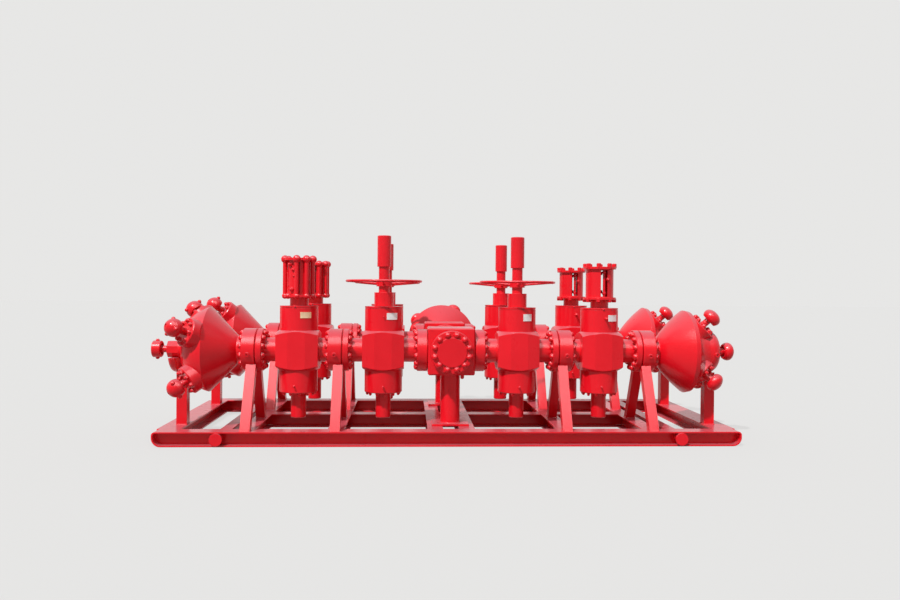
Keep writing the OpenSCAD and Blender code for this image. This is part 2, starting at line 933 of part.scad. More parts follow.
module actuator_stems() {
    color(deep_red) for (line = lines) {
        at(-1, line) actuator_stem(rod_gap_h);
        at(1, line) actuator_stem(lantern_h);
    }
}

// Heads

// Ends of the opening cone, and outline points of a head up to its start
cone_low = [throat_r, cone_start];
cone_high = [ring_r, ring_start];
head_front = concat([[0, 0]], flange_low(0, head_flange_t), [[throat_r, head_flange_t], cone_low]);

// Room that a left head takes round its end, for seating the post under it
module left_envelope(gap) {
    ring = [ring_r + gap, ring_start];
    tip = [end_neck_r + gap, left_face_x];
    run = tip - ring;
    bulge = [run[1], -run[0]] * 2 * closing_bow / norm(run);
    revolve_x([
        [0, ring_start], ring, (ring + tip) / 2 + bulge, tip,
        [end_neck_r + gap, boss_start], [0, boss_start]
    ]);
}

// Room that a right head takes round its end, for seating the post under it
module right_envelope(gap) {
    far = head_end + end_reach;
    revolve_x([
        [0, ring_start], [ring_r + gap, ring_start], [end_neck_r + gap, end_start],
        [end_neck_r + gap, far], [0, far]
    ]);
}

// Turn of the inlets on the head at one end of one line
function line_head_turn(side, line) =
    line < 0
        ? (side < 0 ? front_left_turn : front_right_turn)
        : (side < 0 ? back_left_turn : back_right_turn);

// Distance from the meeting point of the inlet axes to the inlet faces
function inlet_face(side) = side < 0 ? left_inlet_face : right_inlet_face;

// Places children at each inlet, their Z axis along the inlet axis
module round_inlets(side, turn) {
    focus = side < 0 ? left_inlet_focus : right_inlet_focus;
    for (place = side < 0 ? left_inlet_places : right_inlet_places)
        rotate([90 - turn - place, 0, 0])
            translate([focus, 0, 0]) rotate([0, 90 - inlet_tilt, 0]) children();
}

// Inlet flange bosses behind the ring of a head, square to the inlet axes, grown by a gap
module inlet_bosses(side, turn, gap) {
    low = inlet_face(side) - inlet_boss_h;
    r = inlet_r + gap;
    face = inlet_face(side) + gap;
    difference() {
        round_inlets(side, turn) rotate_extrude() polygon([
            [0, low],
            [r, low],
            [r, face - inlet_bevel],
            [r - inlet_bevel, face],
            [0, face]
        ]);
        rod_x(2 * ring_r, 0, ring_start - gap);
    }
}

// Head with a rounded closing surface, a recessed neck and an octagonal boss
module rounded_head(turn) {
    half_side = 180 / boss_sides;
    tip = [end_neck_r, left_face_x];
    revolve_x(concat(head_front, [cone_high], bowed(cone_high, tip, closing_bow), [
        tip,
        [left_neck_r, left_face_x],
        [left_neck_r, boss_start],
        [0, boss_start]
    ]));
    inlet_bosses(-1, turn, 0);
    port_boss(raised_face_h + head_flange_t / 2, flange_r, port_angle);
    translate([boss_start, 0, 0]) rotate([0, 90, 0]) rotate([0, 0, half_side])
        cylinder(d = boss_w / cos(half_side), h = boss_h, $fn = boss_sides);
}

// Head with a narrow ring and a concave sweep into its round end neck
module swept_head(turn) {
    band_end = [ring_r - right_band_drop, ring_start + right_band_h];
    neck_start = [end_neck_r, end_start];
    round_start = [end_neck_r - end_round, head_end - end_round];
    tip_round = [for (i = [0 : bow_steps])
        let(a = 90 * i / bow_steps)
        round_start + end_round * [cos(a), sin(a)]];
    revolve_x(concat(
        head_front, bowed(cone_low, cone_high, cone_bow), [cone_high, band_end],
        bowed(band_end, neck_start, -sweep_depth), [neck_start], tip_round, [[0, head_end]]
    ));
    inlet_bosses(1, turn, 0);
    port_boss(raised_face_h + head_flange_t / 2, flange_r, port_angle);
    port_boss(end_start + end_neck_h / 2, end_neck_r, end_port_angle);
}

module front_left_head() {
    color(red) at(-1, -1) translate([outer_seam_x, 0, 0]) rounded_head(line_head_turn(-1, -1));
}

module front_right_head() {
    color(red) at(1, -1) translate([outer_seam_x, 0, 0]) swept_head(line_head_turn(1, -1));
}

module back_left_head() {
    color(red) at(-1, 1) translate([outer_seam_x, 0, 0]) rounded_head(line_head_turn(-1, 1));
}

module back_right_head() {
    color(red) at(1, 1) translate([outer_seam_x, 0, 0]) swept_head(line_head_turn(1, 1));
}

// Puts a head on the back face of the back cross block
module at_back_block() {
    translate([0, line_y + block_half, line_height]) rotate([0, 0, 90]) children();
}

module centre_head() {
    color(red) at_back_block() swept_head(centre_turn);
}

// Unions

// Ring that hollows out a union round its stalk, from a given height up
module stalk_hollow(z) {
    translate([0, 0, z]) difference() {
        cylinder(r = hollow_r, h = hollow_h);
        cylinder(r = stalk_r, h = hollow_h);
    }
}

// Ball union with lug knobs, cut off and hollow towards its stalk along Z
module ball_union() {
    centre = ball_stalk_h + ball_r * cos(asin(stalk_r / ball_r));
    cut_z = centre - ball_r * ball_cut_share;
    lug_z = centre + ball_r * lug_place_share;
    difference() {
        union() {
            difference() {
                translate([0, 0, centre]) sphere(r = ball_r);
                translate([0, 0, cut_z - ball_r]) cylinder(r = 2 * ball_r, h = ball_r);
            }
            cylinder(r = stalk_r, h = centre);
            translate([0, 0, lug_z]) round_about(ball_lug_count, 90, ball_r) sphere(r = lug_r);
        }
        stalk_hollow(cut_z);
        translate([0, 0, centre + ball_r - dimple_h]) cylinder(r = dimple_r, h = ball_r);
    }
}

// Mushroom union, hollow towards its stalk along Z
module mushroom_union() {
    waist = mushroom_h * mushroom_waist_share;
    above = mushroom_h - waist;
    below = waist / sin(mushroom_cut_angle);
    top = stalk_h + mushroom_h;
    turns = [for (i = [0 : mushroom_steps])
        i / mushroom_steps * (mushroom_cut_angle + 90) - mushroom_cut_angle];
    difference() {
        union() {
            cylinder(r = stalk_r, h = stalk_h + mushroom_h / 2);
            translate([0, 0, stalk_h]) rotate_extrude() polygon(concat([[0, 0]], [
                for (a = turns) [mushroom_r * cos(a), waist + (a < 0 ? below : above) * sin(a)]
            ]));
        }
        stalk_hollow(stalk_h);
        translate([0, 0, top - dimple_h]) cylinder(r = dimple_r, h = dimple_h + overrun);
    }
}

// Drum union with lug knobs, hollow towards its stalk along Z
module drum_union() {
    top = drum_stalk_h + drum_h;
    difference() {
        rotate_extrude() polygon([
            [0, 0],
            [stalk_r, 0],
            [stalk_r, drum_stalk_h],
            [drum_r - flange_bevel, drum_stalk_h],
            [drum_r, drum_stalk_h + flange_bevel],
            [drum_r, top - flange_bevel],
            [drum_r - flange_bevel, top],
            [0, top]
        ]);
        stalk_hollow(drum_stalk_h);
    }
    translate([0, 0, drum_stalk_h + drum_h / 2])
        round_about(drum_lug_count, 0, drum_r) sphere(r = lug_r);
}

// Unions of a rounded head, in the head's own place
module rounded_unions(turn) {
    round_inlets(-1, turn) translate([0, 0, inlet_face(-1)]) ball_union();
    translate([boss_end, 0, 0]) rotate([0, 90, 0]) drum_union();
}

// Unions of a swept head, in the head's own place
module swept_unions(turn) {
    round_inlets(1, turn) translate([0, 0, inlet_face(1)]) mushroom_union();
    translate([head_end, 0, 0]) rotate([0, 90, 0]) mushroom_union();
}

module front_left_unions() {
    color(red) at(-1, -1) translate([outer_seam_x, 0, 0]) rounded_unions(line_head_turn(-1, -1));
}

module front_right_unions() {
    color(red) at(1, -1) translate([outer_seam_x, 0, 0]) swept_unions(line_head_turn(1, -1));
}

module back_left_unions() {
    color(red) at(-1, 1) translate([outer_seam_x, 0, 0]) rounded_unions(line_head_turn(-1, 1));
}

module back_right_unions() {
    color(red) at(1, 1) translate([outer_seam_x, 0, 0]) swept_unions(line_head_turn(1, 1));
}

module centre_unions() {
    color(red) at_back_block() swept_unions(centre_turn);
}

front_rail();
back_rail();
centre_rail();
end_beams();
left_cross_beams();
middle_cross_beams();
right_cross_beams();
lifting_trunnions();
left_support_legs();
right_support_legs();
end_posts();
block_pedestals();
front_cross_block();
back_cross_block();
blind_flange();
link_spool();
front_left_outer_valve();
front_left_inner_valve();
front_right_inner_valve();
front_right_outer_valve();
back_left_outer_valve();
back_left_inner_valve();
back_right_inner_valve();
back_right_outer_valve();
upper_bonnets();
lower_bonnets();
stem_towers();
left_actuators();
right_actuators();
actuator_stems();
front_left_handwheel();
front_right_handwheel();
back_left_handwheel();
back_right_handwheel();
front_left_head();
front_right_head();
back_left_head();
back_right_head();
centre_head();
front_left_unions();
front_right_unions();
back_left_unions();
back_right_unions();
centre_unions();
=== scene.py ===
import math

import bmesh
import bpy
from mathutils import Euler, Matrix, Vector


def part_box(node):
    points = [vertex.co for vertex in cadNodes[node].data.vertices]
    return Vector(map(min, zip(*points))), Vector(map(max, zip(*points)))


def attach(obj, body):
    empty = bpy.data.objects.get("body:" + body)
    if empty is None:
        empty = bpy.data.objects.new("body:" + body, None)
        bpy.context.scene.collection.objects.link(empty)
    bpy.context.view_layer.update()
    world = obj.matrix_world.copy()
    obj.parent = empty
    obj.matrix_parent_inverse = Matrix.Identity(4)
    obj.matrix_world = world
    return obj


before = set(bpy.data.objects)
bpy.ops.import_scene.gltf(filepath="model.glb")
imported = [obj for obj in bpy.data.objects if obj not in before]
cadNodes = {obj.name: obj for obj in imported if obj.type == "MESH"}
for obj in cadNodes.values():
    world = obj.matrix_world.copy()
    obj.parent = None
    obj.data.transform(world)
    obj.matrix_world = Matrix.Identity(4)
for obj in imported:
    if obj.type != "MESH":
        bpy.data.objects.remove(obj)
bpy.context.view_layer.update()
print("frame loaded:", len(cadNodes), "solids")


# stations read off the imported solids, so every piece sits where its carrier is
innerLow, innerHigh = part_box("front_right_inner_valve")
lineY = -(innerLow.y + innerHigh.y) / 2
lineZ = (innerLow.z + innerHigh.z) / 2
blockHalf = innerLow.x
middleSeam = innerHigh.x
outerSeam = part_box("front_right_outer_valve")[1].x
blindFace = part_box("blind_flange")[0].y
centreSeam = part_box("centre_head")[0].y
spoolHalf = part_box("link_spool")[1].y
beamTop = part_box("centre_rail")[1].z
valveReach = 0.400  # valve centre to its outer flange face
manualX = middleSeam - valveReach
hydraulicX = outerSeam - valveReach
sides = (-1, 1)
lines = (-1, 1)
lineName = {-1: "front", 1: "back"}
sideName = {-1: "left", 1: "right"}
upward = Vector((0, 0, 1))


# node helpers

noiseSpan = (0.3, 0.7)  # most of a noise's values lie between these
mixSockets = {"factor": 0, "first": 6, "second": 7, "result": 2}  # a mix node's colour sockets


def socketSet(node, values):
    for name, value in values.items():
        node.inputs[name].default_value = value


def feed(tree, socket, value):
    if isinstance(value, bpy.types.NodeSocket):
        tree.links.new(value, socket)
    else:
        socket.default_value = (*value, 1.0) if socket.type == "RGBA" else value


def noiseNode(tree, coords, grain):
    scale, detail, roughness = grain
    noise = tree.nodes.new("ShaderNodeTexNoise")
    socketSet(noise, {"Scale": scale, "Detail": detail, "Roughness": roughness})
    tree.links.new(coords, noise.inputs["Vector"])
    return noise.outputs["Fac"]


def rampNode(tree, source, span, values=(0.0, 1.0)):
    ramp = tree.nodes.new("ShaderNodeMapRange")
    socketSet(ramp, {"From Min": span[0], "From Max": span[1], "To Min": values[0], "To Max": values[1]})
    tree.links.new(source, ramp.inputs["Value"])
    return ramp.outputs["Result"]


def mixColours(tree, factor, first, second):
    mix = tree.nodes.new("ShaderNodeMix")
    mix.data_type = "RGBA"
    feed(tree, mix.inputs[mixSockets["first"]], first)
    feed(tree, mix.inputs[mixSockets["second"]], second)
    tree.links.new(factor, mix.inputs[mixSockets["factor"]])
    return mix.outputs[mixSockets["result"]]


def dotNode(tree, first, second):
    dot = tree.nodes.new("ShaderNodeVectorMath")
    dot.operation = "DOT_PRODUCT"
    feed(tree, dot.inputs[0], first)
    feed(tree, dot.inputs[1], second)
    return dot.outputs["Value"]


def bumpNode(tree, height, strength, distance):
    bump = tree.nodes.new("ShaderNodeBump")
    socketSet(bump, {"Strength": strength, "Distance": distance})
    tree.links.new(height, bump.inputs["Height"])
    return bump


def raysThatSee(tree):
    # the pale background shows to the camera, in gloss and through glass alike
    path = tree.nodes.new("ShaderNodeLightPath")
    seen = path.outputs["Is Camera Ray"]
    for other in ("Is Glossy Ray", "Is Transmission Ray"):
        either = tree.nodes.new("ShaderNodeMath")
        either.operation = "MAXIMUM"
        tree.links.new(seen, either.inputs[0])
        tree.links.new(path.outputs[other], either.inputs[1])
        seen = either.outputs[0]
    return seen


# finishes; a grain is a noise's scale, detail and roughness

def newFinish(name, metallic, specular):
    finish = bpy.data.materials.new(name)
    finish.use_nodes = True
    tree = finish.node_tree
    shader = tree.nodes["Principled BSDF"]
    socketSet(shader, {"Metallic": metallic, "Specular IOR Level": specular})
    coords = tree.nodes.new("ShaderNodeTexCoord").outputs["Object"]
    return finish, tree, shader, coords


paintFinish = {
    "fresh": (0.780, 0.007, 0.017), "worn": (0.690, 0.005, 0.013),
    "patches": (1.7, 4.0, 0.6), "patchSpan": (0.35, 0.70),
    # the pale pink laid on upward faces is a painted sheen of the sky
    "paintedSheen": (0.430, 0.088, 0.110), "sheenFacing": (0.25, 0.95), "sheenShare": 0.85,
    "peel": (210.0, 2.0, 0.5), "peelStrength": 0.08, "peelDepth": 0.0004,
    # the pale red laid on edges is a painted edge highlight
    "edgeHighlight": (0.830, 0.060, 0.075), "edgeHighlightShare": 0.55, "edgeRound": 0.004, "edgeSamples": 8,
    "edgeTurn": (0.985, 0.80),  # rounded normal against the true one, from plain paint to the painted edge highlight
    "gloss": (9.0, 3.0, 0.5), "rough": (0.26, 0.35), "specular": 0.08, "coat": 0.40, "coatRough": 0.22,
}
trimFinish = {**paintFinish, "edgeRound": 0.0}  # small trim gets no rounded edge and no painted edge highlight


def redPaint(name, s):
    finish, tree, shader, coords = newFinish(name, 0.0, s["specular"])
    patches = rampNode(tree, noiseNode(tree, coords, s["patches"]), s["patchSpan"])
    tone = mixColours(tree, patches, s["fresh"], s["worn"])
    # upward faces are painted paler pink, a painted sheen of the sky
    geometry = tree.nodes.new("ShaderNodeNewGeometry").outputs
    facing = tree.nodes.new("ShaderNodeSeparateXYZ")
    tree.links.new(geometry["Normal"], facing.inputs[0])
    paintedSheen = rampNode(tree, facing.outputs["Z"], s["sheenFacing"], (0.0, s["sheenShare"]))
    toneWithPaintedLight = mixColours(tree, paintedSheen, tone, s["paintedSheen"])
    skin = bumpNode(tree, noiseNode(tree, coords, s["peel"]), s["peelStrength"], s["peelDepth"])
    if s["edgeRound"] > 0:
        # edges are painted lighter, a painted highlight, where the rounded normal leaves the true one
        rounded = tree.nodes.new("ShaderNodeBevel")
        rounded.samples = s["edgeSamples"]
        rounded.inputs["Radius"].default_value = s["edgeRound"]
        turn = dotNode(tree, rounded.outputs["Normal"], geometry["True Normal"])
        edgeGlint = rampNode(tree, turn, s["edgeTurn"], (0.0, s["edgeHighlightShare"]))
        toneWithPaintedLight = mixColours(tree, edgeGlint, toneWithPaintedLight, s["edgeHighlight"])
        tree.links.new(rounded.outputs["Normal"], skin.inputs["Normal"])
    tree.links.new(toneWithPaintedLight, shader.inputs["Base Color"])
    gloss = rampNode(tree, noiseNode(tree, coords, s["gloss"]), noiseSpan, s["rough"])
    tree.links.new(gloss, shader.inputs["Roughness"])
    tree.links.new(skin.outputs["Normal"], shader.inputs["Normal"])
    socketSet(shader, {"Coat Weight": s["coat"], "Coat Roughness": s["coatRough"]})
    return finish


plateFinish = {
    "brass": {"pale": (0.78, 0.56, 0.36), "deep": (0.66, 0.42, 0.24), "rough": (0.34, 0.46), "metal": 0.45},
    "silver": {"pale": (0.86, 0.83, 0.82), "deep": (0.74, 0.71, 0.71), "rough": (0.30, 0.42), "metal": 0.15},
}
brushing = {"specular": 0.5, "stretch": (6.0, 6.0, 900.0), "lines": (1.0, 3.0, 0.6), "cloud": (40.0, 2.0, 0.5),
            "strength": 0.15, "depth": 0.0002}  # brush lines run along the plate


def brushedPlate(name, s, b):
    finish, tree, shader, coords = newFinish(name, s["metal"], b["specular"])
    stretch = tree.nodes.new("ShaderNodeMapping")
    stretch.inputs["Scale"].default_value = b["stretch"]
    tree.links.new(coords, stretch.inputs["Vector"])
    brushLines = noiseNode(tree, stretch.outputs["Vector"], b["lines"])
    cloud = rampNode(tree, noiseNode(tree, coords, b["cloud"]), noiseSpan)
    tree.links.new(mixColours(tree, cloud, s["pale"], s["deep"]), shader.inputs["Base Color"])
    tree.links.new(rampNode(tree, brushLines, noiseSpan, s["rough"]), shader.inputs["Roughness"])
    ridges = bumpNode(tree, brushLines, b["strength"], b["depth"])
    tree.links.new(ridges.outputs["Normal"], shader.inputs["Normal"])
    return finish


# the socket floor is painted near black, a painted shade in the hole, mottled by noise
socketFinish = {"deep": (0.045, 0.003, 0.005), "edge": (0.110, 0.005, 0.008), "shadeMottle": (60.0, 3.0, 0.6),
                "rough": (0.55, 0.75), "specular": 0.3}


def shadowedSocket(name, s):
    finish, tree, shader, coords = newFinish(name, 0.0, s["specular"])
    shadeMottle = noiseNode(tree, coords, s["shadeMottle"])
    tone = mixColours(tree, rampNode(tree, shadeMottle, noiseSpan), s["deep"], s["edge"])
    tree.links.new(tone, shader.inputs["Base Color"])
    tree.links.new(rampNode(tree, shadeMottle, noiseSpan, s["rough"]), shader.inputs["Roughness"])
    return finish


paint = redPaint("redPaint", paintFinish)
trimPaint = redPaint("redTrimPaint", trimFinish)
brassPlate = brushedPlate("brassPlate", plateFinish["brass"], brushing)
silverPlate = brushedPlate("silverPlate", plateFinish["silver"], brushing)
darkSocket = shadowedSocket("darkSocket", socketFinish)
for solid in cadNodes.values():
    for place in solid.material_slots:
        place.material = paint
print("finishes mixed")


# mesh helpers

softEdge = {"trim": 38.0, "weld": 75.0}  # degrees below which an edge is shaded smooth
hexSides = 12  # corners and middles of flats in turn


def ringPoints(radius, z, count, flat=None):
    points = []
    for i in range(count):
        angle = math.tau * i / count
        reach = radius if flat is None or i % 2 == 0 else flat
        points.append(Vector((reach * math.cos(angle), reach * math.sin(angle), z)))
    return points


def turned(profile, count):
    return [ringPoints(radius, z, count) for radius, z in profile]


def hexRings(flats, heights):
    return [ringPoints(flats / math.sqrt(3), z, hexSides, flats / 2) for z in heights]


def domeRings(radius, low, height, count, steps):
    swings = [math.pi / 2 * i / steps for i in range(steps)]
    rings = turned([(radius * math.cos(swing), low + height * math.sin(swing)) for swing in swings], count)
    return rings + [[Vector((0, 0, low + height))]]


def loft(mesh, rings, place=Matrix.Identity(4), capLow=True, capHigh=True, finishIndex=0):
    rows = [[mesh.verts.new(place @ p) for p in ring] for ring in rings]
    faces = []
    for low, high in zip(rows, rows[1:]):
        for i in range(len(low)):
            j = (i + 1) % len(low)
            corners = (low[i], low[j], high[0]) if len(high) == 1 else (low[i], low[j], high[j], high[i])
            faces.append(mesh.faces.new(corners))
    if capLow:
        faces.append(mesh.faces.new(list(reversed(rows[0]))))
    if capHigh and len(rows[-1]) > 1:  # a dome closes itself
        faces.append(mesh.faces.new(rows[-1]))
    for face in faces:
        face.smooth = True
        face.material_index = finishIndex


def aim(origin, along, up=upward):
    z = Vector(along).normalized()
    x = Vector(up).cross(z)
    if x.length < 1e-6:  # along points straight up or down
        x = Vector((1, 0, 0)).cross(z)
    x.normalize()
    y = z.cross(x)
    return Matrix(((x.x, y.x, z.x, origin[0]), (x.y, y.y, z.y, origin[1]),
                   (x.z, y.z, z.z, origin[2]), (0, 0, 0, 1)))


def onRound(x, y, radius, offset, z):
    depth = math.sqrt(radius * radius - offset * offset)
    return aim((x + offset, y - depth, z), (offset, -depth, 0))


def makePiece(name, mesh, finishes=(trimPaint,), body="manifold", edge="trim"):
    data = bpy.data.meshes.new(name)
    bmesh.ops.recalc_face_normals(mesh, faces=mesh.faces[:])
    mesh.to_mesh(data)
    mesh.free()
    for finish in finishes:
        data.materials.append(finish)
    data.set_sharp_from_angle(angle=math.radians(softEdge[edge]))
    piece = bpy.data.objects.new(name, data)
    bpy.context.scene.collection.objects.link(piece)
    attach(piece, body)


# flange nuts: domed hexagon nuts on round washers

nutShape = {"washerSides": 16, "bevelShare": 0.4, "shoulderCorner": 1.03, "shoulderFlat": 0.99, "domeSteps": 4}
mainNut = {"circle": 0.17145, "count": 12, "flats": 0.054, "hexHeight": 0.009, "domeRadius": 0.0268,
           "domeHeight": 0.022, "washerRadius": 0.0325, "washerHeight": 0.003}
inletNut = {"circle": 0.1075, "count": 8, "flats": 0.040, "hexHeight": 0.014, "domeRadius": 0.0195,
            "domeHeight": 0.018, "washerRadius": 0.0245, "washerHeight": 0.003}


def domedNut(mesh, place, s, n=nutShape):
    flat = s["flats"] / 2
    washer, top = s["washerHeight"], s["washerHeight"] + s["hexHeight"]
    bevel = s["washerHeight"] * n["bevelShare"]
    wide = s["washerRadius"]
    loft(mesh, turned([(wide, 0), (wide, washer - bevel), (wide - bevel, washer)], n["washerSides"]), place)
    shoulder = ringPoints(flat * n["shoulderCorner"], top, hexSides, flat * n["shoulderFlat"])
    dome = domeRings(s["domeRadius"], top, s["domeHeight"], hexSides, n["domeSteps"])
    loft(mesh, hexRings(s["flats"], (washer, top - bevel)) + [shoulder] + dome, place)


def nutRing(mesh, origin, along, s, up=upward):
    face = aim(origin, along, up)
    for i in range(s["count"]):
        angle = math.tau * (i + 0.5) / s["count"]  # bolt holes straddle the centre line
        spot = Vector((s["circle"] * math.sin(angle), s["circle"] * math.cos(angle), 0))
        domedNut(mesh, face @ Matrix.Translation(spot), s)


def mainNutPiece(name, origin, along):
    mesh = bmesh.new()
    nutRing(mesh, origin, along, mainNut)
    makePiece(name, mesh)


flangeDepth = {"manual": 0.105, "hydraulic": 0.140, "valveOuter": 0.062, "head": 0.135, "spool": 0.105}
nutStations = (  # place along a line, and the way the nuts point
    ("block", blockHalf + flangeDepth["manual"], 1), ("inner", middleSeam - flangeDepth["valveOuter"], -1),
    ("middle", middleSeam + flangeDepth["hydraulic"], 1), ("outer", outerSeam - flangeDepth["valveOuter"], -1),
    ("head", outerSeam + flangeDepth["head"], 1),
)
for line in lines:
    for side in sides:
        for label, station, way in nutStations:
            mainNutPiece(f"nuts_{lineName[line]}_{sideName[side]}_{label}",
                         (side * station, line * lineY, lineZ), (side * way, 0, 0))
mainNutPiece("nuts_blind_flange", (0, blindFace, lineZ), (0, -1, 0))

blindBoss = {"radius": 0.145, "height": 0.016, "bevel": 0.004, "sides": 72}  # raised face inside the nut circle
mesh = bmesh.new()
wide, tall, bevel = blindBoss["radius"], blindBoss["height"], blindBoss["bevel"]
loft(mesh, turned([(wide, 0), (wide, tall - bevel), (wide - bevel, tall)], blindBoss["sides"]),
     aim((0, blindFace, lineZ), (0, -1, 0)))
makePiece("blind_flange_boss", mesh, [paint])
for line in lines:
    mainNutPiece(f"nuts_{lineName[line]}_spool", (0, line * (spoolHalf - flangeDepth["spool"]), lineZ), (0, -line, 0))
mainNutPiece("nuts_centre_head", (0, centreSeam + flangeDepth["head"], lineZ), (0, 1, 0))
print("main flange nuts set")


# inlet nuts, eight on each slanted inlet flange

inletLay = {
    "left": {"tilt": 46.0, "focus": 0.228, "face": 0.560, "places": (0, 100, 180, 287)},
    "right": {"tilt": 46.0, "focus": 0.345, "face": 0.404, "places": (0, 80, 170, 242)},
}
headTurns = {"front_left": 28.0, "front_right": 68.0, "back_left": 22.0, "back_right": 228.0, "centre": 64.0}


def headPlace(name):
    if name == "centre":
        return Matrix.Translation((0, centreSeam, lineZ)) @ Matrix.Rotation(math.pi / 2, 4, "Z")
    line = -1 if name.startswith("front") else 1
    side = -1 if name.endswith("left") else 1
    flip = Matrix.Diagonal((side, -line, 1, 1))
    return Matrix.Translation((side * outerSeam, line * lineY, lineZ)) @ flip


def inletAxes(name, s):
    place = headPlace(name)
    tilt = math.radians(s["tilt"])
    for angle in s["places"]:
        swing = math.radians(90.0 - headTurns[name] - angle)
        along = Vector((math.cos(tilt), -math.sin(tilt) * math.sin(swing), math.sin(tilt) * math.cos(swing)))
        spot = Vector((s["focus"], 0, 0)) + along * s["face"]
        yield place @ spot, place.to_3x3() @ along, place.to_3x3() @ Vector((1, 0, 0))


for head in headTurns:
    mesh = bmesh.new()
    for spot, along, axis in inletAxes(head, inletLay["left" if head.endswith("left") else "right"]):
        nutRing(mesh, spot, along, inletNut, up=axis)
    makePiece(f"nuts_{head}_inlets", mesh)
print("inlet nuts set")


# bolt heads under the lower bonnets

bonnetTrim = {"radius": 0.187, "boltZ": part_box("lower_bonnets")[0].z + 0.255, "boltTurn": 9.0}
bonnetNut = {"circle": 0.160, "count": 12, "flats": 0.030, "hexHeight": 0.011, "domeRadius": 0.0148,
             "domeHeight": 0.016, "washerRadius": 0.0185, "washerHeight": 0.003}
mesh = bmesh.new()
for x, y in [(side * x, line * lineY) for line in lines for side in sides for x in (manualX, hydraulicX)]:
    for i in range(bonnetNut["count"]):
        angle = math.radians(bonnetTrim["boltTurn"]) + math.tau * i / bonnetNut["count"]
        spot = (x + bonnetNut["circle"] * math.sin(angle), y - bonnetNut["circle"] * math.cos(angle),
                bonnetTrim["boltZ"])
        domedNut(mesh, aim(spot, -upward), bonnetNut)
makePiece("bonnet_bolts", mesh)
print("bonnet bolts set")


# grease fittings and socket plugs on the bonnets

fittingTrim = {
    "hexFlats": 0.024, "hexHeight": 0.010, "neck": (1.1, 1.15), "stemRadius": 0.0085, "stemHeight": 0.016,
    "ballRadius": 0.0125, "ballLift": 0.8, "ballSteps": 8, "sides": 12,
    # place along the line, offset from the axis, height, size
    "spots": ((-hydraulicX, -0.017, 0.536, 0.75), (-manualX, 0.002, 0.531, 0.75), (manualX, 0.002, 0.531, 0.75),
              (hydraulicX, -0.017, 0.536, 0.75), (-manualX, 0.0045, 1.217, 0.50), (hydraulicX, 0.019, 1.213, 1.10)),
}


def greaseFitting(mesh, place, s):
    stem = s["hexHeight"] + s["stemHeight"]
    wider, higher = s["neck"]
    neck = turned([(s["stemRadius"] * wider, s["hexHeight"] * higher), (s["stemRadius"], stem)], s["sides"])
    loft(mesh, hexRings(s["hexFlats"], (0, s["hexHeight"])) + neck, place)
    swings = [math.pi * i / s["ballSteps"] - math.pi / 2 for i in range(1, s["ballSteps"])]
    loft(mesh, turned([(s["ballRadius"] * math.cos(swing), stem + s["ballRadius"] * (s["ballLift"] + math.sin(swing)))
                       for swing in swings], s["sides"]), place)


mesh = bmesh.new()
for line in lines:
    for x, offset, z, size in fittingTrim["spots"]:
        spot = onRound(x, line * lineY, bonnetTrim["radius"], offset, z)
        greaseFitting(mesh, spot @ Matrix.Scale(size, 4), fittingTrim)
makePiece("grease_fittings", mesh)

plugTrim = {"radius": 0.014, "sink": 0.002, "proud": 0.0025, "shoulder": (0.6, 0.9), "socketRadius": 0.0078,
            "socketFloor": 0.00715, "socketDepth": 0.002, "sides": 24,
            "spots": ((-hydraulicX, -0.0117, 1.3040), (manualX, 0.0358, 1.2985), (hydraulicX, 0.0028, 1.2990))}


def socketPlug(mesh, place, s):
    lift, inset = s["shoulder"]
    mouth = (s["socketRadius"], s["proud"])
    loft(mesh, turned([(s["radius"], -s["sink"]), (s["radius"], s["proud"] * lift), (s["radius"] * inset, s["proud"]),
                       mouth], s["sides"]), place, capHigh=False)
    # the socket's floor takes the second finish, its painted shade
    loft(mesh, turned([mouth, (s["socketFloor"], s["proud"] - s["socketDepth"])], s["sides"]),
         place, capLow=False, finishIndex=1)


mesh = bmesh.new()
for line in lines:
    for x, offset, z in plugTrim["spots"]:
        socketPlug(mesh, onRound(x, line * lineY, bonnetTrim["radius"], offset, z), plugTrim)
makePiece("bonnet_plugs", mesh, [trimPaint, darkSocket])
print("grease fittings and plugs set")


# bare plates, bent to the bonnets of the front line

plateTrim = {
    "thick": 0.0030, "rim": 0.004, "rimRise": 0.0010, "rimSlope": 1.25, "columns": 14,
    "rivetRadius": 0.0035, "rivetRise": 0.7, "rivetInset": 2.2, "rivetSink": 0.9, "rivetSides": 12, "rivetSteps": 4,
    # place along the line, first and last offset from the axis, low and high
    "plates": (("left_hydraulic", -hydraulicX, 0.036, 0.133, 1.198, 1.257, "brass_plate"),
               ("left_manual", -manualX, 0.034, 0.134, 1.189, 1.2545, "steel_plate"),
               ("right_manual", manualX, 0.038, 0.123, 1.183, 1.2525, "steel_plate"),
               ("right_hydraulic", hydraulicX, 0.047, 0.138, 1.186, 1.2486, "steel_plate")),
}
plateMaterial = {"brass_plate": brassPlate, "steel_plate": silverPlate}


